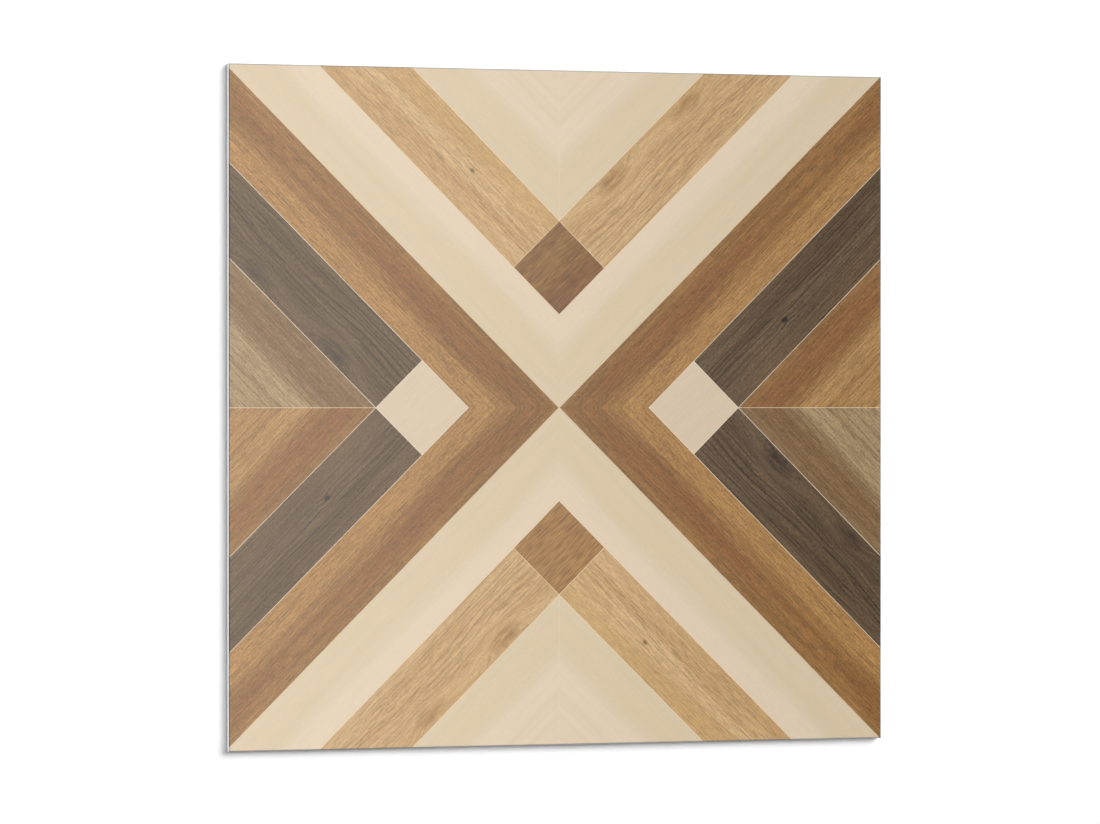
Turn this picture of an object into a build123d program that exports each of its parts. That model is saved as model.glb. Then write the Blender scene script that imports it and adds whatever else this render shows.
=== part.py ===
from build123d import *
import os

# Vinyl floor tile: one square plate of filled vinyl, cut straight down on its four
# sides so that tiles butt together, with the sharp top edge worked off to a fine bevel.
# The tile lies flat: its underside is on z = 0, its face looks up along +Z, and the
# origin is under the middle of the face.

# Driving dimensions, in millimetres
tile_side = 304.8        # across the cut sides, the 12 inch module
tile_thickness = 4.5     # underside to face
bevel_width = 0.4        # how far the bevel reaches in over the face
bevel_drop = 0.3         # how far the bevel reaches down the cut side


def blank():
    """The square blank as it leaves the cutter, every edge still sharp."""
    outline = Rectangle(tile_side, tile_side)
    return extrude(outline, amount=tile_thickness)


def with_bevelled_face(plate):
    """The plate with its four top edges bevelled; the bevels mitre at the corners."""
    face = plate.faces().sort_by(Axis.Z)[-1]
    return chamfer(face.edges(), length=bevel_width, length2=bevel_drop, reference=face)


floor_tile = with_bevelled_face(blank())

os.makedirs("parts", exist_ok=True)
export_step(floor_tile, "parts/floor_tile.step")

box = floor_tile.bounding_box()
print(f"floor_tile: {box.size.X:.1f} x {box.size.Y:.1f} x {box.size.Z:.2f} mm, {floor_tile.volume:.0f} mm3")
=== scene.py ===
# %% [markdown]
# A vinyl floor tile, seen from above
# The object is one square plate of filled vinyl. Its face carries a print of wooden
# strips laid as an X of chevrons, under a clear satin wear layer. The plate itself is
# simple, so almost all the work is in the print: where each strip ends, how its grain
# runs, and how the light washes over it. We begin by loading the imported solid, because
# its box says how large the tile is and where it lies.

# %% Load the tile and keep its box
import math

import bmesh
import bpy
from mathutils import Matrix, Vector


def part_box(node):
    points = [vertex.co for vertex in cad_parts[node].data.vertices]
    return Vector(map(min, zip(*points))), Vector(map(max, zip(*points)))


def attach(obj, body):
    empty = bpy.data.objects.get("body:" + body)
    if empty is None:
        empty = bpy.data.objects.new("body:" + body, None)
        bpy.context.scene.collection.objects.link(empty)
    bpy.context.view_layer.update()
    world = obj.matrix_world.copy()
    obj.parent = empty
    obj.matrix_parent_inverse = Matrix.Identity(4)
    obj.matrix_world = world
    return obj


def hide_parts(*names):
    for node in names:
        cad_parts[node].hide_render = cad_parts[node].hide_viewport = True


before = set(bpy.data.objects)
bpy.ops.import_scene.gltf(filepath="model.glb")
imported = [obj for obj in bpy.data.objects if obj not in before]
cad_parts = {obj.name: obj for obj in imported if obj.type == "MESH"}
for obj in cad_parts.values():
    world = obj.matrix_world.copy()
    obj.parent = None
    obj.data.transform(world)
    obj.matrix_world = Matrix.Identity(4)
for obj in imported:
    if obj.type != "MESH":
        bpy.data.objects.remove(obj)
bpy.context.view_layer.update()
low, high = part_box("floor_tile")
half_side = (high.x - low.x) / 2
thickness = high.z - low.z
print(f"tile: side {2000 * half_side:.1f} mm, thickness {1000 * thickness:.2f} mm")

# %% [markdown]
# The layout of the print
# Strips of wood about 30 mm wide run side by side from the middle of the tile to its
# edge, all at 45 degrees. If we fold the tile along its two middle lines, every quarter
# lies on the same drawing, and two numbers place any point on it: how far it is along
# the strip, and how far it is across from the diagonal of the tile. The same two numbers
# will steer the mesh and the grain, so they are worked out once, here. Lengths of the
# print are in millimetres, as a maker would give them.

# %% Strip widths and the fold
MM = 0.001
ROOT_HALF = math.sqrt(0.5)
band_width = 29.8            # cream and brown chevrons, from the diagonal outwards
strip_width = 30.0           # oak and smoked strips beside them
joint_width = 0.2            # pale line between two strips
cream_overlap = 0.25         # the cream chevron reaches this far past the diagonal
print_shift = (-1.17, -0.06)  # the print sits a little off the middle of the tile
print_pull = (0.9985, 1.0015)  # and the film was pulled a little: its scale along x and y
first_joint = band_width
second_joint = band_width + strip_width


def on_print(x, y):
    """The place on the drawing of a point given in millimetres from the tile's middle."""
    return (x - print_shift[0]) * print_pull[0], (y - print_shift[1]) * print_pull[1]


def folded(x, y):
    """Along and across, in millimetres, of a place on the drawing."""
    along = (abs(x) + abs(y)) * ROOT_HALF
    across = (abs(x) - abs(y)) * ROOT_HALF
    return along, across


print(f"joints lie {first_joint:.1f} and {second_joint:.1f} mm from the diagonals")

# %% [markdown]
# Which wood lies where
# Each place on the face belongs to one inlay. The side triangles hold a brown chevron,
# smoked strips that stop at a cream block, and a brown field split in two. The top and
# bottom triangles hold a cream chevron, oak strips that stop at a walnut block, and a
# cream field. A printed line could be painted by a mask in one huge material, but it is
# far easier to read, and stays sharp at any size, when every inlay is a face of the mesh.

# %% Name the inlay at a point


def on_joint(x, y, along, depth):
    """Whether a point lies on one of the pale printed lines."""
    reach = joint_width / 2
    strip_side = min(abs(depth - first_joint), abs(depth - second_joint)) < reach
    block_end = first_joint < depth < second_joint and abs(along - second_joint) < reach
    field_mitre = depth > second_joint and min(abs(x), abs(y)) < reach
    return strip_side or block_end or field_mitre


def inlay_at(x, y):
    """The inlay that covers a point of the face, given in millimetres from the tile's middle."""
    x, y = on_print(x, y)
    along, across = folded(x, y)
    depth = abs(across)
    if on_joint(x, y, along, depth):
        return "joint_line"
    rising = x * y > 0       # the quarters at the upper right and the lower left
    in_block = along < second_joint
    if across < cream_overlap:
        if depth < first_joint:
            return "cream_chevron"
        if depth > second_joint:
            return "cream_field"
        if in_block:
            return "walnut_block_top" if y > 0 else "walnut_block_bottom"
        return "oak_figured" if rising else "oak_knotted"
    if depth < first_joint:
        return "brown_chevron"
    if depth > second_joint:
        return "warm_field" if rising else "grey_field"
    if in_block:
        return "cream_block"
    return "smoked_knotted" if rising else "smoked_figured"


try_spots = ((0, 60), (60, 0), (0, 20), (80, 20), (-80, 20), (130, 10), (20, 130), (20, 90))
for spot in try_spots:
    print(spot, inlay_at(*spot))

# %% [markdown]
# The plate as a mesh
# The solid has the right shape, but its face is one big polygon. The visible tile is
# built again at the same size: the face is cut along every joint with straight cuts, the
# cuts that no joint needs are dissolved, and then the rim is drawn down over the fine
# bevel and the straight cut sides. Bisecting a face is exact, so two inlays meet in a
# line with no gap.

# %% Cut the face along its joints
bevel_width = 0.4 * MM
bevel_drop = 0.3 * MM
CUT_EDGE = "cut_edge"
BACKING = "backing"
inlay_names = [
    "joint_line", "cream_chevron", "cream_field", "cream_block", "brown_chevron",
    "oak_knotted", "oak_figured", "smoked_knotted", "smoked_figured", "grey_field",
    "warm_field", "walnut_block_top", "walnut_block_bottom", CUT_EDGE, BACKING,
]


def joint_cuts():
    """Every straight cut through the face, as a direction across it and a distance in millimetres."""
    reach = joint_width / 2
    offsets = [-cream_overlap, cream_overlap]
    for joint in (first_joint, second_joint):
        for side in (-1, 1):
            offsets += [side * joint - reach, side * joint + reach]
    pull_x, pull_y = print_pull
    for offset in offsets:
        yield Vector((ROOT_HALF * pull_x, ROOT_HALF * pull_y, 0)), offset
        yield Vector((ROOT_HALF * pull_x, -ROOT_HALF * pull_y, 0)), offset
    for offset in (-reach, reach):
        yield Vector((pull_x, 0, 0)), offset
        yield Vector((0, pull_y, 0)), offset


def inlay_index(face):
    """The material index of the inlay under the middle of a face."""
    middle = face.calc_center_median() / MM
    return inlay_names.index(inlay_at(middle.x, middle.y))


plate = bmesh.new()
face_half = half_side - bevel_width
corners = [(-1, -1), (1, -1), (1, 1), (-1, 1)]
plate.faces.new([plate.verts.new((i * face_half, j * face_half, thickness)) for i, j in corners])
print_middle = Vector((print_shift[0] * MM, print_shift[1] * MM, thickness))
for direction, offset in joint_cuts():
    everything = plate.verts[:] + plate.edges[:] + plate.faces[:]
    bmesh.ops.bisect_plane(
        plate, geom=everything, plane_co=print_middle + direction * offset * MM, plane_no=direction
    )
for face in plate.faces:
    face.material_index = inlay_index(face)
print(f"face cut into {len(plate.faces)} pieces")

# %% [markdown]
# The cuts run right across the face, also through inlays that are whole. An edge with
# the same inlay on both sides is one of those, and dissolving it leaves each inlay as a
# single clean polygon.

# %% Dissolve the cuts that no joint needs
spare = [
    edge for edge in plate.edges
    if len(edge.link_faces) == 2
    and edge.link_faces[0].material_index == edge.link_faces[1].material_index
    and inlay_names[edge.link_faces[0].material_index] != "joint_line"
]
bmesh.ops.dissolve_edges(plate, edges=spare, use_verts=True)
print(f"{len(plate.faces)} inlay and joint faces are left")

# %% [markdown]
# The print runs on over the bevel, so each bevel face takes the inlay beside it. The
# sides below show the bare vinyl, and the underside is the backing.

# %% Draw the rim down to the underside
SAME_PLACE = 1e-7            # in metres; what is closer to the rim than this lies on it


def rim():
    """The open edges round the mesh."""
    return [edge for edge in plate.edges if edge.is_boundary]


def draw_down(half, height):
    """Extrudes the rim to a square of that half side at that height, and gives the new faces."""
    grown = bmesh.ops.extrude_edge_only(plate, edges=rim())["geom"]
    for vert in [item for item in grown if isinstance(item, bmesh.types.BMVert)]:
        widest = max(abs(vert.co.x), abs(vert.co.y))
        for axis in (0, 1):
            if widest - abs(vert.co[axis]) < SAME_PLACE:
                vert.co[axis] = math.copysign(half, vert.co[axis])
        vert.co.z = height
    return [item for item in grown if isinstance(item, bmesh.types.BMFace)]


for face in draw_down(half_side, thickness - bevel_drop):
    face.material_index = inlay_index(face)
for face in draw_down(half_side, 0.0):
    face.material_index = inlay_names.index(CUT_EDGE)
underside = bmesh.ops.contextual_create(plate, geom=rim())["faces"]
for face in underside:
    face.material_index = inlay_names.index(BACKING)
bmesh.ops.recalc_face_normals(plate, faces=plate.faces[:])
print(f"plate: {len(plate.faces)} faces, {len(underside)} underneath")

# %% [markdown]
# The map for the baked print
# When the tile is exported its materials become pictures, and a picture needs a map of
# where each face goes. An automatic map would give the hidden underside as much room as
# the face. So the map is laid out: the face fills most of it, the underside a small
# square, and the four sides thin strips along the top.

# %% Lay out the bake map
FACE_SHARE = 0.86
BACK_SHARE = 0.12
MAP_MARGIN = 0.005
bake_map = plate.loops.layers.uv.new("OFBake")


def on_face(point):
    """Map place of a point of the face or its bevel."""
    scale = FACE_SHARE / (2 * half_side)
    return MAP_MARGIN + (point.x + half_side) * scale, MAP_MARGIN + (point.y + half_side) * scale


def on_back(point):
    """Map place of a point of the underside."""
    scale = BACK_SHARE / (2 * half_side)
    left = 1 - MAP_MARGIN - BACK_SHARE
    return left + (point.x + half_side) * scale, MAP_MARGIN + (point.y + half_side) * scale


def on_side(point, normal):
    """Map place of a point of a cut side: one strip for each side, stacked above the face."""
    scale = FACE_SHARE / (2 * half_side)
    facing = [(-1, 0), (1, 0), (0, -1), (0, 1)]
    order = max(range(4), key=lambda i: facing[i][0] * normal.x + facing[i][1] * normal.y)
    run = point.y if order < 2 else point.x
    pitch = 2 * thickness * scale
    base = FACE_SHARE + 3 * MAP_MARGIN + order * pitch
    return MAP_MARGIN + (run + half_side) * scale, base + point.z * scale


for face in plate.faces:
    name = inlay_names[face.material_index]
    for loop in face.loops:
        if name == BACKING:
            place = on_back(loop.vert.co)
        elif name == CUT_EDGE:
            place = on_side(loop.vert.co, face.normal)
        else:
            place = on_face(loop.vert.co)
        loop[bake_map].uv = place

tile_mesh = bpy.data.meshes.new("printed_tile")
plate.to_mesh(tile_mesh)
plate.free()
tile = bpy.data.objects.new("printed_tile", tile_mesh)
bpy.context.collection.objects.link(tile)
print(f"tile mesh: {len(tile_mesh.vertices)} points, {len(tile_mesh.polygons)} faces")

# %% [markdown]
# A small kit for wiring materials
# Every finish below is a chain of nodes. Written out one by one they would hide the wood
# behind the wiring, so a few short methods add a node, feed it and give back the socket
# that leaves it. A socket is linked and a plain number is typed in, so the recipes can
# mix both.

# %% The wiring kit


def screen(red, green, blue):
    """A colour as a screen shows it, 0 to 255, as the light values a shader takes (sRGB curve)."""
    levels = [level / 255 for level in (red, green, blue)]
    light = [v / 12.92 if v <= 0.04045 else ((v + 0.055) / 1.055) ** 2.4 for v in levels]
    return (*light, 1.0)


SLIT_REACH = (0.20, 0.20)    # least reach of a slit from the middle of its cell, and what chance adds
SLIT_CORE = 0.60             # the share of its reach where a slit is full
FAINTEST_SLIT = 0.35


class Wiring:
    """Adds nodes to one tree; each method gives back the socket that leaves its node."""

    def __init__(self, tree):
        self.tree = tree

    def node(self, kind, **settings):
        made = self.tree.nodes.new(kind)
        for name, value in settings.items():
            setattr(made, name, value)
        return made

    def feed(self, socket, value):
        if isinstance(value, bpy.types.NodeSocket):
            self.tree.links.new(value, socket)
        else:
            socket.default_value = value

    def math(self, operation, *values):
        made = self.node("ShaderNodeMath", operation=operation)
        for socket, value in zip(made.inputs, values):
            self.feed(socket, value)
        return made.outputs[0]

    def add(self, first, second):
        return self.math("ADD", first, second)

    def times(self, first, second):
        return self.math("MULTIPLY", first, second)

    def rise(self, value, start, end):
        """0 below start, 1 above end, with a soft slope between; start may be the larger."""
        made = self.node("ShaderNodeMapRange", interpolation_type="SMOOTHSTEP")
        self.feed(made.inputs["Value"], value)
        self.feed(made.inputs["From Min"], start)
        self.feed(made.inputs["From Max"], end)
        return made.outputs[0]

    def stretch(self, value, comes_in, goes_out):
        """1 over one stretch, with a soft slope at both ends, each given as for rise."""
        return self.times(self.rise(value, *comes_in), self.rise(value, *goes_out))

    def blend(self, amount, first, second):
        made = self.node("ShaderNodeMix", data_type="RGBA")
        self.feed(made.inputs[0], amount)
        self.feed(made.inputs[6], first)
        self.feed(made.inputs[7], second)
        return made.outputs[2]

    def shade(self, colour, factor):
        """The colour made lighter or darker by a factor."""
        made = self.node("ShaderNodeVectorMath", operation="SCALE")
        self.feed(made.inputs[0], colour)
        self.feed(made.inputs["Scale"], factor)
        return made.outputs[0]

    def swing(self, noise, size):
        """Noise about one half turned into a swing about zero of that size."""
        return self.times(self.add(noise, -0.5), size)

    def tones(self, value, *stops):
        """A colour scale; each stop is a place from 0 to 1 and a colour."""
        made = self.node("ShaderNodeValToRGB")
        scale = made.color_ramp
        while len(scale.elements) < len(stops):
            scale.elements.new(1.0)
        for element, (place, colour) in zip(scale.elements, stops):
            element.position = place
            element.color = colour
        self.feed(made.inputs[0], value)
        return made.outputs[0]

    def streaks(self, along, across, length, width, seed, detail=2.0, rough=0.5):
        """Noise drawn out along the grain; a streak is about half of length by half of width, in
        millimetres, and seed picks another part of the same noise."""
        place = self.node("ShaderNodeCombineXYZ")
        self.feed(place.inputs[0], self.math("DIVIDE", along, length))
        self.feed(place.inputs[1], self.math("DIVIDE", across, width))
        self.feed(place.inputs[2], seed)
        noise = self.node("ShaderNodeTexNoise")
        self.feed(noise.inputs["Vector"], place.outputs[0])
        self.feed(noise.inputs["Scale"], 1.0)
        self.feed(noise.inputs["Detail"], detail)
        self.feed(noise.inputs["Roughness"], rough)
        return noise.outputs[0]

    def on_tile(self):
        """The place on the tile, in millimetres, as three sockets."""
        parts = self.node("ShaderNodeSeparateXYZ")
        self.feed(parts.inputs[0], self.node("ShaderNodeTexCoord").outputs["Object"])
        return [self.math("DIVIDE", way, MM) for way in parts.outputs]

    def slits(self, along, across, length, width, seed):
        """Short separate slits, about one in every length by width millimetres, some fainter."""
        place = self.node("ShaderNodeCombineXYZ")
        self.feed(place.inputs[0], self.add(self.math("DIVIDE", along, length), seed))
        self.feed(place.inputs[1], self.math("DIVIDE", across, width))
        cells = self.node("ShaderNodeTexVoronoi", voronoi_dimensions="2D")
        self.feed(cells.inputs["Vector"], place.outputs[0])
        self.feed(cells.inputs["Scale"], 1.0)
        chance = self.node("ShaderNodeSeparateColor")
        self.feed(chance.inputs[0], cells.outputs["Color"])
        least, more = SLIT_REACH
        reach = self.add(least, self.times(chance.outputs[0], more))
        slit = self.rise(cells.outputs["Distance"], reach, self.times(reach, SLIT_CORE))
        strength = self.add(FAINTEST_SLIT, self.times(chance.outputs[1], 1.0 - FAINTEST_SLIT))
        return self.times(slit, strength)


print("colour check, a mid grey:", [round(v, 3) for v in screen(128, 128, 128)])

# %% [markdown]
# Grain that folds with the tile
# On the real tile the grain is book-matched: the same board is mirrored into all four
# quarters, as a cabinet maker opens two leaves of one veneer. A node group does the same
# fold as the mesh: it takes the place on the tile, goes over to the place on the drawing,
# drops the signs, and turns the result by 45 degrees. It gives the run along the board
# and the way across it, in millimetres. For the blocks, whose grain isn't mirrored, it
# gives the unfolded pair as well, and last how far in from the rim of the tile a place is.

# %% The book-match group


def book_match_group():
    """A node group with the outputs Along, Across, Rising, Falling and Inset, in millimetres."""
    group = bpy.data.node_groups.new("BookMatch", "ShaderNodeTree")
    for name in ("Along", "Across", "Rising", "Falling", "Inset"):
        group.interface.new_socket(name, in_out="OUTPUT", socket_type="NodeSocketFloat")
    w = Wiring(group)
    on_tile = w.on_tile()[:2]
    x, y = [w.times(w.add(on_tile[i], -print_shift[i]), print_pull[i]) for i in (0, 1)]
    side, up = w.math("ABSOLUTE", x), w.math("ABSOLUTE", y)
    furthest = w.math("MAXIMUM", *[w.math("ABSOLUTE", way) for way in on_tile])
    out = w.node("NodeGroupOutput")
    w.feed(out.inputs["Along"], w.times(w.add(side, up), ROOT_HALF))
    w.feed(out.inputs["Across"], w.math("ABSOLUTE", w.times(w.math("SUBTRACT", side, up), ROOT_HALF)))
    w.feed(out.inputs["Rising"], w.times(w.add(x, y), ROOT_HALF))
    w.feed(out.inputs["Falling"], w.times(w.math("SUBTRACT", x, y), ROOT_HALF))
    w.feed(out.inputs["Inset"], w.math("SUBTRACT", half_side / MM, furthest))
    return group


book_match = book_match_group()
print("group outputs:", [item.name for item in book_match.interface.items_tree])

# %% [markdown]
# The wear layer
# All the woods lie under one clear vinyl film, so they share their gloss: a satin surface
# that spreads a reflection over several degrees. A finish starts from this shell. Its
# recipe only gives a colour and a height for the fine emboss, and the shell does the rest.
# Round the rim, over the bevel, the face turns darker and greyer in a fine line, so the
# shell can darken a colour there too.

# %% A finish under the wear layer
SATIN = 0.27
EMBOSS_DEPTH = 0.06 * MM
EMBOSS_STRENGTH = 0.06
UNEVEN_GLOSS = (2.0, 0.9)    # length and width of the noise that unsettles the gloss, in millimetres
UNEVEN_SWING = 0.02
RIM_LINE = (0.70, 0.35)    # millimetres in from the rim, where the darker line begins and is full
RIM_LINE_SATURATION = 0.45
RIM_LINE_VALUE = 0.62


class Finish(Wiring):
    """One material of the tile, with the book-matched coordinates at hand."""

    def __init__(self, name):
        self.material = bpy.data.materials.new(name)
        self.material.use_nodes = True
        super().__init__(self.material.node_tree)
        self.shader = self.tree.nodes["Principled BSDF"]
        matched = self.node("ShaderNodeGroup", node_tree=book_match)
        self.along = matched.outputs["Along"]
        self.across = matched.outputs["Across"]
        self.rising = matched.outputs["Rising"]
        self.falling = matched.outputs["Falling"]
        self.inset = matched.outputs["Inset"]

    def with_rim_line(self, colour):
        """The colour made darker and greyer in a fine line round the face, over the bevel."""
        made = self.node("ShaderNodeHueSaturation")
        self.feed(made.inputs["Saturation"], RIM_LINE_SATURATION)
        self.feed(made.inputs["Value"], RIM_LINE_VALUE)
        self.feed(made.inputs["Fac"], self.rise(self.inset, *RIM_LINE))
        self.feed(made.inputs["Color"], colour)
        return made.outputs[0]

    def finish(self, colour, height, rough=SATIN, strength=EMBOSS_STRENGTH):
        """Feeds the shader: colour, satin gloss with a little unevenness, and the emboss."""
        self.feed(self.shader.inputs["Base Color"], colour)
        uneven = self.streaks(self.along, self.across, *UNEVEN_GLOSS, 31.0)
        spread = self.add(self.swing(uneven, UNEVEN_SWING), rough)
        self.feed(self.shader.inputs["Roughness"], spread)
        bump = self.node("ShaderNodeBump")
        self.feed(bump.inputs["Strength"], strength)
        self.feed(bump.inputs["Distance"], EMBOSS_DEPTH)
        self.feed(bump.inputs["Height"], height)
        self.feed(self.shader.inputs["Normal"], bump.outputs[0])
        return self.material


finishes = {}
print(f"satin roughness {SATIN}, emboss {1000 * EMBOSS_DEPTH:.2f} mm")

# %% [markdown]
# The field board
# Look closely and the brown chevrons, the split brown fields and all the cream are one
# and the same board in four stains. Along one edge it is dark for about 15 mm, then it
# turns golden, with two more rings further in. The profile below lists how light the
# board is at each distance from that edge. Bending the distance with slow noise makes
# the rings wander, and noise drawn out along the grain lays streaks over them.

# %% Rings and fibre of the field board
BOARD_SPAN = 48.0            # the profile covers this much of the board, in millimetres
ring_profile = (             # millimetres from the dark edge, lightness from 0 to 1
    (0.0, 0.12), (5.0, 0.08), (7.5, 0.17), (12.0, 0.0), (14.5, 0.10), (17.0, 0.36), (19.0, 0.60),
    (21.5, 0.86), (27.0, 0.96), (29.0, 0.80), (31.5, 0.50), (36.5, 1.0), (39.0, 0.68), (44.0, 0.82),
)
HAIR = (5.0, 0.6)            # length and width of the noise behind the short hairs, in millimetres
STROKE = (34.0, 0.65)        # the same for the long strokes
SPECK = (1.2, 0.7)           # and for the specks


def grey(level):
    """A neutral tone of that level, also for a scale that carries a number."""
    return (level, level, level, 1.0)


def fibre_of(w, way, seed, sizes):
    """Fine grain as a swing of the colour about zero, and its hairs and strokes as a height for the
    emboss. sizes says how far the short hairs, the long strokes and the specks swing."""
    hair = w.streaks(w.along, way, *HAIR, seed, detail=0.0)
    strokes = w.streaks(w.along, way, *STROKE, seed + 1.0, detail=0.0)
    speck = w.streaks(w.along, way, *SPECK, seed + 4.0, detail=0.0)
    long_and_short = w.add(w.swing(hair, sizes[0]), w.swing(strokes, sizes[1]))
    swing = w.add(long_and_short, w.swing(speck, sizes[2]))
    return swing, w.times(w.add(hair, strokes), 0.5)


print("the field board has", len(ring_profile), "steps in its profile")

# %% [markdown]
# The recipe of the field board
# The board also changes along its length: one stretch of it is paler, its far end fades,
# and reddish patches lie in its dark part. Each of these could have a mask drawn for it.
# Here each is a soft rise and fall along or across the board, because a pair of numbers
# then says where it begins and where it is full. Short pores darken the golden part,
# where they show best.

# %% The field board
RING_BEND = (110.0, 26.0)    # length and width of the slow bends of the rings, in millimetres
RING_SWING = 6.0             # how far the rings bend, in millimetres
FIGURE = (75.0, 3.2)         # length and width of the drawn-out figure
PALE_STRETCH = ((66.0, 84.0), (152.0, 120.0))  # along the board, where it comes in and goes out
PALE_GAIN = 0.13
FADED_END = (120.0, 170.0)   # along the board
FADED_GAIN = 0.14
RED_HEART = ((3.0, 7.0), (18.0, 13.0))         # across the board, where it comes in and goes out
RED_BEGINS = (2.0, 24.0)     # along the board
RED_PATCH = (60.0, 9.0)      # length and width of the noise behind the red patches
RED_SHARE = 0.65
FIELD_FIBRE = (0.75, 0.70, 0.65)
GOLDEN_PART = (13.0, 22.0)   # across the board
FIELD_PORE = (8.0, 1.0)      # length and width of the noise behind the pores
PORE_SHADE = 0.07
PORE_DEPTH = 0.4


def field_board(name, start, slide, stain):
    """start is how far across from the diagonal the dark edge of the board lies, and slide how far
    its pale stretch, faded end and red patches are pushed along, in millimetres."""
    w = Finish(name)
    run = w.add(w.along, -slide)
    from_edge = w.add(w.across, -start)
    wander = w.streaks(w.along, from_edge, *RING_BEND, 41.0)
    way = w.add(from_edge, w.swing(wander, RING_SWING))
    drawn = w.streaks(w.along, way, *FIGURE, 42.0, detail=stain["fine"], rough=0.6)
    stops = [(at / BOARD_SPAN, grey(light)) for at, light in ring_profile]
    rings = w.tones(w.math("DIVIDE", way, BOARD_SPAN), *stops)
    pale = w.times(w.stretch(run, *PALE_STRETCH), PALE_GAIN)
    faded = w.add(pale, w.times(w.rise(run, *FADED_END), FADED_GAIN))
    light = w.add(w.add(rings, faded), w.swing(drawn, stain["figure"]))
    colour = w.blend(w.math("MAXIMUM", light, 0.0), stain["dark"], stain["gold"])
    heart = w.stretch(way, *RED_HEART)
    begun = w.rise(run, *RED_BEGINS)
    glow = w.rise(w.streaks(run, way, *RED_PATCH, 46.0), 0.36, 0.60)
    colour = w.blend(w.times(w.times(glow, heart), w.times(begun, RED_SHARE)), colour, stain["red"])
    grain, height = fibre_of(w, way, 43.0, FIELD_FIBRE)
    golden = w.rise(way, *GOLDEN_PART)
    pores = w.rise(w.streaks(w.along, way, *FIELD_PORE, 45.0, detail=0.0), 0.53, 0.62)
    grain = w.math("SUBTRACT", grain, w.times(w.times(pores, golden), PORE_SHADE))
    factor = w.add(1.0, w.times(grain, stain["vivid"]))
    return w.finish(w.with_rim_line(w.shade(colour, factor)), w.add(height, w.times(pores, -PORE_DEPTH)))


print("the board turns golden from %.0f to %.0f mm from its dark edge" % GOLDEN_PART)

# %% [markdown]
# Four stains of the field board
# A stain is a dark tone, a golden tone, the warmer tone of the patches in the dark part,
# how far the drawn-out figure swings, how fine its detail is, and how lively the fibre
# shows. The cream is nearly bleached out, so its figure is soft and its fibre weak. A
# recipe for each stain would do too, but one recipe keeps the boards alike, as they are
# on the tile.

# %% Brown chevron, warm field, grey field and the cream
FIELD_SLIDE = 50.0           # millimetres that the pale stretch lies further along on the fields
brown_stain = {
    "dark": screen(128, 88, 42), "gold": screen(162, 119, 66), "red": screen(124, 75, 34),
    "figure": 1.3, "fine": 3.0, "vivid": 1.0,
}
warm_stain = {
    "dark": screen(126, 86, 43), "gold": screen(166, 126, 75), "red": screen(130, 82, 40),
    "figure": 1.3, "fine": 3.0, "vivid": 1.0,
}
grey_stain = {
    "dark": screen(115, 86, 53), "gold": screen(158, 133, 97), "red": screen(116, 85, 50),
    "figure": 1.6, "fine": 3.0, "vivid": 1.0,
}
cream_stain = {
    "dark": screen(207, 188, 157), "gold": screen(216, 198, 172), "red": screen(211, 188, 155),
    "figure": 0.7, "fine": 1.0, "vivid": 0.06,
}
finishes["brown_chevron"] = field_board("brown_chevron", 0.0, 0.0, brown_stain)
finishes["warm_field"] = field_board("warm_field", second_joint, FIELD_SLIDE, warm_stain)
finishes["grey_field"] = field_board("grey_field", second_joint, FIELD_SLIDE, grey_stain)
finishes["cream_chevron"] = field_board("cream_chevron", 0.0, 0.0, cream_stain)
finishes["cream_field"] = field_board("cream_field", second_joint, FIELD_SLIDE, cream_stain)
print("field boards:", sorted(finishes))

# %% [markdown]
# Oak boards, light and smoked
# The oak strips and the dark strips are two more boards in two stains. One has a small
# pin knot and a quiet golden edge, the other two brown flecks where the grain swings
# round. Oak is drawn by its pores: short dark dashes that crowd together in the growth
# rings. A pattern of cells drawn out along the grain gives the dashes, one slit in the
# middle of each cell, and a wider noise says where they crowd. The way across is bent
# first, so that the dashes, the rings and the long lines all wander together.

# %% Pores, lines and flaws of an oak board
pin_knot = (104.0, 17.2)                   # along, and across from the outer edge, in millimetres
knot_long = 1.4                            # the knot is this many times as long as wide
knot_core = 0.4                            # the share of its size where the knot is full
flecks = ((91.0, 25.0), (139.5, 25.0))
fleck_long = 2.6                           # a fleck is this many times as long as wide
fleck_fade = (4.8, 1.2)                    # distance where a fleck begins and is full
knot_push = ((5.0, 0.5), 0.9)              # how near and how far the knot pushes the grain aside
fleck_push = ((9.0, 1.0), 3.2)             # the same for a fleck
oak_bend = (80.0, 15.0)                    # length and width of the slow bends of the grain
figured_swing = 10.0                       # how far the grain of the figured board bends
knotted_swing = 5.0                        # and that of the knotted one
beside_block = (96.0, 78.0)                # along the figured board, where its lines never fade
past_edge = (5.0, 10.0)                    # and across it
line_spacing = 2.0                         # millimetres between two lines
line_stray = 11.0                          # how far the lines stray from that, in radians


def distance_to(w, across, spot, stretch):
    """Distance in millimetres from a spot, with the way along the grain shortened by stretch."""
    reach = w.times(w.add(w.along, -spot[0]), 1 / stretch)
    side = w.add(across, -spot[1])
    return w.math("SQRT", w.add(w.times(reach, reach), w.times(side, side)))


def pushed_aside(w, way, distance, push):
    """The way across with the grain pushed aside near a flaw."""
    near, far = push
    return w.add(way, w.times(w.rise(distance, *near), far))


def oak_way(w, figured, knot_size):
    """The bent way across the board from its outer edge, and how much a flaw shows."""
    across = w.add(w.across, -first_joint)
    wander = w.streaks(w.along, across, *oak_bend, 11.0 if figured else 17.0)
    way = w.add(across, w.swing(wander, figured_swing if figured else knotted_swing))
    if figured:
        nearest = w.math("MINIMUM", *[distance_to(w, across, spot, fleck_long) for spot in flecks])
        return pushed_aside(w, way, nearest, fleck_push), w.rise(nearest, *fleck_fade)
    distance = distance_to(w, across, pin_knot, knot_long)
    return pushed_aside(w, way, distance, knot_push), w.rise(distance, knot_size, knot_core * knot_size)


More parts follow.
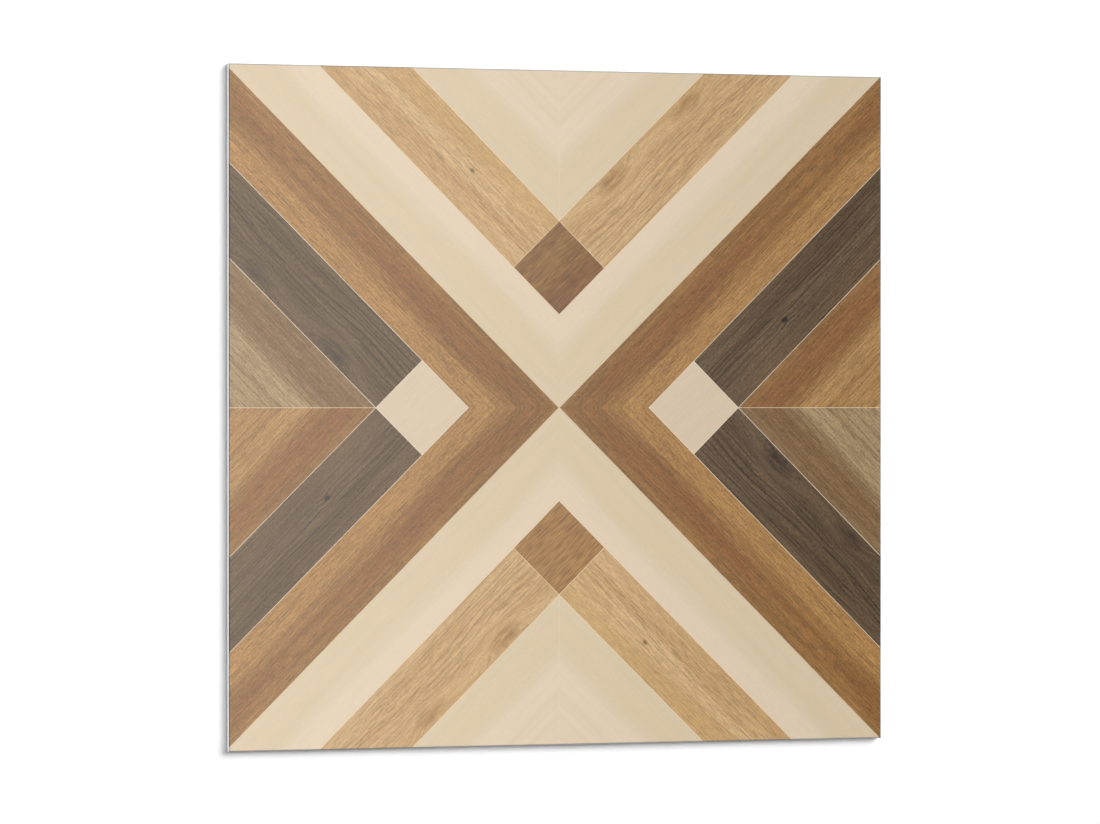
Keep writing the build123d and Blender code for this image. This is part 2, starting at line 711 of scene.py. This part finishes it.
def grain_lines(w, way, seed, figured):
    """Thin dark lines that follow the grain, fading out and coming back."""
    jitter = w.streaks(w.along, way, 90.0, 7.0, seed)
    phase = w.add(w.times(way, 2 * math.pi / line_spacing), w.swing(jitter, line_stray))
    line = w.rise(w.math("SINE", phase), 0.35, 0.95)
    present = w.rise(w.streaks(w.along, way, 50.0, 3.0, seed + 7.0), 0.38, 0.56)
    if figured:
        near_block = w.times(w.rise(w.along, *beside_block), w.rise(way, *past_edge))
        present = w.math("MAXIMUM", present, near_block)
    return w.times(line, present)


print("pin knot at", pin_knot, "flecks at", flecks)

# %% [markdown]
# Two stains of the oak
# On the tile the same oak comes natural and smoked to a dark brown. As with the field
# board, one recipe takes both stains. A stain gives the tones, the size of the knot, how
# strongly pores and lines show, and how far the fibre swings. Where it has a pair of
# numbers, the first is for the knotted board and the second for the figured one.

# %% Light oak and smoked oak
OAK_RING = (200.0, 5.0)      # length and width of the noise behind the growth rings, in millimetres
OAK_PORE = (12.0, 0.9)       # length and width of the cell round one pore
OAK_TONE = (90.0, 6.0)       # length and width of the noise between the pale and the deep tone
SMUDGE = (16.0, 1.6)         # length and width of the smudges in a fleck
SPARSE = 0.6                 # how strong the pores are between the rings
QUIET_EDGE = (18.0, 25.0)    # across the board, where its inner edge goes quiet
OUTER_EDGE = (5.0, 1.0)      # and its outer edge
oak_stain = {
    "pale": screen(199, 165, 118), "deep": screen(188, 151, 102), "gold": screen(189, 152, 97),
    "pore": screen(112, 80, 42), "flaw": screen(158, 117, 66), "knot": screen(124, 97, 52),
    "knot_size": 1.2, "pores": 0.55, "lines": (0.26, 0.42), "fibre": (0.42, 0.30, 0.36),
    "tint": (0.99, 0.97),
}
smoked_stain = {
    "pale": screen(96, 76, 53), "deep": screen(86, 66, 44), "gold": screen(95, 74, 50),
    "pore": screen(44, 31, 16), "flaw": screen(58, 41, 32), "knot": screen(24, 16, 8),
    "knot_size": 1.5, "pores": 0.62, "lines": (0.90, 0.95), "fibre": (0.45, 1.10, 0.95),
    "tint": (0.985, 0.93),
}


def oak_board(name, stain, figured):
    """An oak board in one stain, either the figured one with flecks or the one with the pin knot."""
    w = Finish(name)
    way, flaw = oak_way(w, figured, stain["knot_size"])
    kind = 1 if figured else 0
    seed = 21.0 if figured else 27.0
    rings = w.streaks(w.along, way, *OAK_RING, seed, detail=1.0)
    crowd = w.add(SPARSE, w.times(w.rise(rings, 0.42, 0.60), 1.0 - SPARSE))
    quiet = w.rise(way, *QUIET_EDGE)
    calm = w.add(w.times(quiet, 0.8), w.times(w.rise(way, *OUTER_EDGE), 0.6))
    if figured:
        calm = w.math("MAXIMUM", calm, w.times(flaw, 0.85))
    open_grain = w.times(crowd, w.math("SUBTRACT", 1.0, calm))
    pores = w.times(w.slits(w.along, way, *OAK_PORE, seed + 1.0), open_grain)
    lines = w.times(grain_lines(w, way, seed + 2.0, figured), open_grain)
    grain, height = fibre_of(w, way, seed + 30.0, stain["fibre"])
    tone = w.streaks(w.along, way, *OAK_TONE, seed + 4.0)
    colour = w.blend(w.rise(tone, 0.36, 0.64), stain["pale"], stain["deep"])
    colour = w.blend(w.times(quiet, 0.2 if figured else 0.7), colour, stain["gold"])
    if figured:
        smudge = w.rise(w.streaks(w.along, way, *SMUDGE, seed + 5.0), 0.38, 0.58)
        colour = w.blend(w.times(flaw, w.add(0.30, w.times(smudge, 0.65))), colour, stain["flaw"])
    colour = w.blend(w.times(lines, stain["lines"][kind]), colour, stain["pore"])
    colour = w.blend(w.times(pores, stain["pores"]), colour, stain["pore"])
    if not figured:
        colour = w.blend(w.times(flaw, 0.95), colour, stain["knot"])
    colour = w.shade(colour, w.times(w.add(1.0, grain), stain["tint"][kind]))
    return w.finish(w.with_rim_line(colour), w.math("SUBTRACT", height, w.add(pores, w.times(lines, 0.5))))


for board, figured in (("knotted", False), ("figured", True)):
    finishes["oak_" + board] = oak_board("oak_" + board, oak_stain, figured)
    finishes["smoked_" + board] = oak_board("smoked_" + board, smoked_stain, figured)
print("oak boards:", [name for name in finishes if name.startswith(("oak", "smoked"))])

# %% [markdown]
# The blocks
# The four small squares where the strips begin are cut from a darker board and from the
# cream. Their grain isn't folded: it rises to the right in all of them, so the recipe
# takes the unfolded pair of the group. A folded grain would be mirrored down the middle
# of each square. The upper walnut block is the darker, and it deepens towards its lower
# right.

# %% Walnut blocks and cream blocks
BLOCK_TURN = 3.0             # degrees from the diagonal towards level
BLOCK_BEND = (40.0, 14.0)    # length and width of the slow bends of the grain, in millimetres
BLOCK_SWING = 2.0            # how far it bends, in millimetres
BLOCK_FIGURE = (40.0, 4.0)   # length and width of the drawn-out figure
BLOCK_HAIR = (5.0, 0.7)      # the same for the hairs
BLOCK_PORE = (14.0, 1.0)     # length and width of the cell round one pore
LOWER_RIGHT = (-48.0, -30.0)  # millimetres along the falling diagonal, where the upper block deepens
PORE_TONE = screen(84, 52, 26)
PORE_SHARE = 0.55
HAIR_SWING = 0.85


def block(name, pale, dark, deepens, vivid, seed):
    """deepens is how much darker the block gets towards its lower right, vivid how lively it is."""
    w = Finish(name)
    turn = math.radians(BLOCK_TURN)
    run = w.add(w.times(w.rising, math.cos(turn)), w.times(w.falling, math.sin(turn)))
    side = w.math("SUBTRACT", w.times(w.falling, math.cos(turn)), w.times(w.rising, math.sin(turn)))
    wander = w.streaks(run, side, *BLOCK_BEND, seed)
    way = w.add(side, w.swing(wander, BLOCK_SWING))
    drawn = w.streaks(run, way, *BLOCK_FIGURE, seed + 1, detail=2.0)
    hair = w.streaks(run, way, *BLOCK_HAIR, seed + 2, detail=0.0)
    pores = w.slits(run, way, *BLOCK_PORE, seed + 3)
    lower_right = w.rise(w.falling, *LOWER_RIGHT)
    depth = w.add(w.times(w.rise(drawn, 0.34, 0.66), 0.5), w.times(lower_right, deepens))
    colour = w.blend(depth, pale, dark)
    colour = w.blend(w.times(pores, PORE_SHARE * vivid), colour, PORE_TONE)
    colour = w.shade(colour, w.add(1.0, w.swing(hair, HAIR_SWING * vivid)))
    return w.finish(colour, w.math("SUBTRACT", hair, pores))


finishes["walnut_block_top"] = block(
    "walnut_block_top", screen(137, 100, 53), screen(112, 70, 38), 0.55, 1.0, 61.0
)
finishes["walnut_block_bottom"] = block(
    "walnut_block_bottom", screen(156, 114, 63), screen(147, 103, 56), 0.0, 1.0, 67.0
)
finishes["cream_block"] = block(
    "cream_block", screen(208, 190, 164), screen(203, 184, 157), 0.0, 0.06, 73.0
)
print("blocks:", [name for name in finishes if "block" in name])

# %% [markdown]
# The joints
# The joints are printed as thin pale lines with no depth to speak of. Their colour goes
# by place: palest beside the smoked strips, warmer beside the oak, and nearly lost
# between two creams. A material for each would do, but one that goes by place is shorter.

# %% Joint lines
BESIDE_SMOKED = screen(236, 224, 200)
BESIDE_OAK = screen(238, 211, 176)
BETWEEN_BROWNS = screen(235, 216, 176)
BETWEEN_CREAMS = screen(221, 204, 178)
MITRE_BEGINS = (0.3, 0.8)    # millimetres past the second joint
JOINT_GRAIN = (3.0, 1.0)     # length and width of the unevenness of the ink, in millimetres
JOINT_LIGHT = 0.97


def joint_line(name):
    """The pale ink of the joints, coloured by the woods on its two sides."""
    w = Finish(name)
    mitre = w.rise(w.across, *[second_joint + past for past in MITRE_BEGINS])
    at_side = w.rise(w.times(w.rising, w.falling), -1.0, 1.0)
    beside = w.blend(at_side, BESIDE_OAK, BESIDE_SMOKED)
    between = w.blend(at_side, BETWEEN_CREAMS, BETWEEN_BROWNS)
    colour = w.blend(mitre, beside, between)
    grain = w.streaks(w.along, w.across, *JOINT_GRAIN, 71.0, detail=2.0)
    colour = w.shade(colour, w.add(JOINT_LIGHT, w.swing(grain, 0.2)))
    return w.finish(w.with_rim_line(colour), grain, strength=0.05)


finishes["joint_line"] = joint_line("joint_line")
print(f"joints {joint_width} mm wide")

# %% [markdown]
# The bare vinyl
# The cut sides show the pale filled vinyl, chalky and finely speckled, with faint upright
# marks from the knife. A thin dark grey band at their foot is painted shade, where the
# sides meet the floor. The backing is the same stock with a fine linen emboss, so that
# adhesive keys to it, and two crossed waves are enough for a weave that nobody sees from
# above.

# %% Cut edge and backing
FOOT_SHADE_BAND = (0.6, 0.4)    # height in millimetres where the painted shade at the foot begins and is full
CORE = screen(226, 224, 219)
CORE_SPECK = screen(192, 188, 181)
KNIFE_MARK = screen(205, 202, 196)
BACK_PALE = screen(176, 173, 166)
BACK_DEEP = screen(160, 156, 148)
BACK_SPECK = screen(130, 126, 120)
BACK_WEAVE_SHADE = screen(142, 138, 131)
# the two tones of the painted shade at the foot of the cut sides
FOOT_SHADE_PALE = screen(108, 105, 100)
FOOT_SHADE_SPECK = screen(92, 89, 84)
WEAVE_PITCH = 1.6            # in millimetres
CHALKY = 0.62                # roughness of a cut side
LINEN_ROUGH = 0.7


def cut_edge(name):
    """The cut sides: pale core, specks, knife marks and a band of painted shade at the foot."""
    w = Finish(name)
    x, y, z = w.on_tile()
    run = w.add(x, y)
    speck = w.streaks(run, z, 0.5, 0.5, 73.0, detail=2.0)
    knife = w.streaks(run, z, 0.7, 9.0, 79.0, detail=2.0)
    colour = w.blend(w.rise(speck, 0.58, 0.72), CORE, CORE_SPECK)
    colour = w.blend(w.times(w.rise(knife, 0.5, 0.75), 0.35), colour, KNIFE_MARK)
    # painted shade along the foot of the side, where it meets the floor
    foot = w.blend(w.rise(speck, 0.4, 0.7), FOOT_SHADE_PALE, FOOT_SHADE_SPECK)
    colour = w.blend(w.rise(z, *FOOT_SHADE_BAND), colour, foot)
    return w.finish(colour, knife, rough=CHALKY, strength=0.4)


def backing(name):
    """The underside: clouded, speckled and pressed with a linen weave."""
    w = Finish(name)
    x, y = w.on_tile()[:2]
    weave = [w.math("SINE", w.times(way, 2 * math.pi / WEAVE_PITCH)) for way in (x, y)]
    linen = w.add(0.5, w.times(w.times(weave[0], weave[1]), 0.5))
    clouds = w.streaks(x, y, 22.0, 22.0, 83.0, detail=4.0)
    speck = w.streaks(x, y, 0.8, 0.8, 89.0, detail=2.0)
    colour = w.blend(w.rise(clouds, 0.35, 0.65), BACK_PALE, BACK_DEEP)
    colour = w.blend(w.rise(speck, 0.62, 0.72), colour, BACK_SPECK)
    # painted shade, darker in step with the linen weave
    colour = w.blend(w.times(linen, 0.3), colour, BACK_WEAVE_SHADE)
    return w.finish(colour, linen, rough=LINEN_ROUGH, strength=0.8)


finishes[CUT_EDGE] = cut_edge(CUT_EDGE)
finishes[BACKING] = backing(BACKING)
for name in inlay_names:
    tile_mesh.materials.append(finishes[name])
print(f"{len(tile_mesh.materials)} finishes on the tile")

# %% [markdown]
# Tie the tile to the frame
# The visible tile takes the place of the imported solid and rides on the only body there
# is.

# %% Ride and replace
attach(tile, "root")
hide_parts("floor_tile")
print("tile rides on root and replaces floor_tile")

# %% [markdown]
# Floor and surroundings
# The tile lies on a plain white floor between white walls, under a dim ceiling. To the
# camera the floor should be pure white with only the tile's shadow on it, so for camera
# rays, and for what the gloss mirrors, its white is lifted a little. The light it throws
# back at the tile is that of a normal pale floor. The walls are white in the same way,
# and the even fill light of the room is far weaker.

# %% White floor and surroundings
FLOOR_HALF = 4.0             # in metres
FLOOR_PAINT = screen(236, 236, 236)
FLOOR_WHITE = 1.06           # what the camera sees in place of that paint
SKY_LEVEL = 0.12
WALL_TOP = (0.35, 0.12)      # height of a direction where the walls give way to the dim ceiling


def seen_by_camera(w):
    """1 for rays that show the floor or sky in the picture, straight or in a reflection."""
    path = w.node("ShaderNodeLightPath")
    mirrored = w.math("MAXIMUM", path.outputs["Is Glossy Ray"], path.outputs["Is Transmission Ray"])
    return w.math("MAXIMUM", path.outputs["Is Camera Ray"], mirrored)


def white_floor():
    """A wide plane under the tile, brighter to the camera than to the tile."""
    mesh = bpy.data.meshes.new("studio_floor")
    points = [(i * FLOOR_HALF, j * FLOOR_HALF, 0.0) for i, j in corners]
    mesh.from_pydata(points, [], [(0, 1, 2, 3)])
    floor = bpy.data.objects.new("studio_floor", mesh)
    bpy.context.collection.objects.link(floor)
    material = bpy.data.materials.new("studio_floor")
    material.use_nodes = True
    w = Wiring(material.node_tree)
    w.tree.nodes.remove(w.tree.nodes["Principled BSDF"])
    seen = seen_by_camera(w)
    paint = w.node("ShaderNodeBsdfDiffuse")
    w.feed(paint.inputs["Color"], w.blend(seen, FLOOR_PAINT, grey(FLOOR_WHITE)))
    w.feed(w.tree.nodes["Material Output"].inputs["Surface"], paint.outputs[0])
    mesh.materials.append(material)
    return floor


def pale_sky():
    """Even fill light; to the camera and the gloss, white walls under a dim ceiling."""
    world = bpy.data.worlds.new("studio")
    world.use_nodes = True
    bpy.context.scene.world = world
    w = Wiring(world.node_tree)
    parts = w.node("ShaderNodeSeparateXYZ")
    w.feed(parts.inputs[0], w.node("ShaderNodeTexCoord").outputs["Generated"])
    walls = w.times(seen_by_camera(w), w.rise(parts.outputs[2], *WALL_TOP))
    level = w.add(SKY_LEVEL, w.times(walls, 1.0 - SKY_LEVEL))
    back = w.tree.nodes["Background"]
    back.inputs["Color"].default_value = (1.0, 1.0, 1.0, 1.0)
    w.feed(back.inputs["Strength"], level)


white_floor()
pale_sky()
print(f"floor {2 * FLOOR_HALF:.0f} m wide, sky level {SKY_LEVEL}")

# %% [markdown]
# The camera
# The photograph looks down on the tile from a little to its left through a long lens, so
# the left side is nearer and shows a sliver of its cut edge. The camera stands where the
# four corners of the face fall on their places in the picture.

# %% Camera
LENS = 135.8                 # in millimetres, as is the sensor
SENSOR_WIDTH = 36.0
UPRIGHT = Vector((0, 1, 0))  # the way that is up in the picture
camera_place = Vector((-0.4824, 0.0012, 1.8163))
camera_aim = Vector((-0.0054, -0.0020, 0.0043))

camera_data = bpy.data.cameras.new("camera")
camera_data.lens = LENS
camera_data.sensor_width = SENSOR_WIDTH
camera = bpy.data.objects.new("camera", camera_data)
bpy.context.collection.objects.link(camera)
back = (camera_place - camera_aim).normalized()
right = UPRIGHT.cross(back).normalized()
up = back.cross(right)
camera.matrix_world = Matrix.Translation(camera_place) @ Matrix((right, up, back)).transposed().to_4x4()
bpy.context.scene.camera = camera
print(f"camera {(camera_place - camera_aim).length:.3f} m from the face, lens {LENS} mm")

# %% [markdown]
# The light
# Two broad lamps far away light the tile evenly. Both stand towards the upper right, one
# about 34 degrees from upright and the key about 49, so the tile keeps a narrow soft
# shadow at its left and below. A far lamp is a sun with a wide disc: an area lamp close by
# would fade across the tile. Level 1 would render a face square to the lamp in its own
# colour, and on the flat face both lamps and the sky together come to about 1. A low strip
# at the left lights the cut side there, which the far lamps leave in shade. All three are
# kept out of the gloss, because the sheen of the photograph is the work of the card in the
# next step.

# %% Far lamps and the low strip
HIGH_LAMP = (0.52, 0.42, 1.0)  # the way towards each far lamp
KEY_LAMP = (0.95, 0.62, 1.0)
HIGH_LEVEL = 0.60
KEY_LEVEL = 0.50
LAMP_SPREAD = 44             # in degrees
STRIP_PLACE = (-2.5, 0.0, 0.20)
STRIP_SIZE = (1.2, 0.2)
STRIP_POWER = 42.0           # in watts
STRIP_COLOUR = (0.95, 1.0, 1.08)


def far_lamp(name, towards, spread, level):
    """A round lamp in that direction, so far off that its light is even; spread in degrees."""
    lamp = bpy.data.lights.new(name, "SUN")
    lamp.angle = math.radians(spread)
    lamp.energy = level * math.pi
    holder = bpy.data.objects.new(name, lamp)
    holder.rotation_euler = Vector(towards).to_track_quat("Z", "Y").to_euler()
    holder.visible_glossy = False
    bpy.context.collection.objects.link(holder)


def soft_box(name, place, aim, size, power, colour):
    """A rectangular lamp at place, turned towards aim."""
    lamp = bpy.data.lights.new(name, "AREA")
    lamp.shape = "RECTANGLE"
    lamp.size, lamp.size_y = size
    lamp.energy = power
    lamp.color = colour
    holder = bpy.data.objects.new(name, lamp)
    holder.location = place
    holder.rotation_euler = (Vector(place) - Vector(aim)).to_track_quat("Z", "Y").to_euler()
    bpy.context.collection.objects.link(holder)
    return holder


far_lamp("high_upper_right", HIGH_LAMP, LAMP_SPREAD, HIGH_LEVEL)
far_lamp("key_upper_right", KEY_LAMP, LAMP_SPREAD, KEY_LEVEL)
low_strip = soft_box(
    "low_strip_left", STRIP_PLACE, (-half_side, 0, 0), STRIP_SIZE, STRIP_POWER, STRIP_COLOUR
)
low_strip.visible_glossy = False
bpy.context.scene.view_settings.view_transform = "Standard"
print("lamps:", [item.name for item in bpy.data.lights])

# %% [markdown]
# The milky sheen
# The left half of the face looks washed out and the right half deep. A photographer gets
# that with a bright card over the tile, whose image in the satin gloss covers only the
# left half. The card ends where the camera would see it mirrored in the middle of the
# tile, and the gloss spreads that edge into a slow change. It shines on nothing else, so
# it takes no part in the colours or the shadows.

# %% The card over the tile
HANG = 1.40                  # height of the card, in metres
CARD_LEVEL = 3.7
CARD_COLOUR = (1.0, 0.90, 0.78)
CARD_FORWARD = 0.05          # how far the card hangs towards the bottom of the picture
lean = math.atan2(camera_aim.x - camera_place.x, camera_place.z - camera_aim.z)
mirror_edge = HANG * math.tan(lean)
card_size = (1.10, 1.10)
card_middle = (mirror_edge - card_size[0] / 2, -CARD_FORWARD, HANG)
card = soft_box(
    "card_over_tile", card_middle, (card_middle[0], card_middle[1], 0.0), card_size,
    CARD_LEVEL * math.pi * card_size[0] * card_size[1], CARD_COLOUR,
)
card.visible_diffuse = False
print(f"the card ends {1000 * mirror_edge:.0f} mm to the right of the tile's middle")
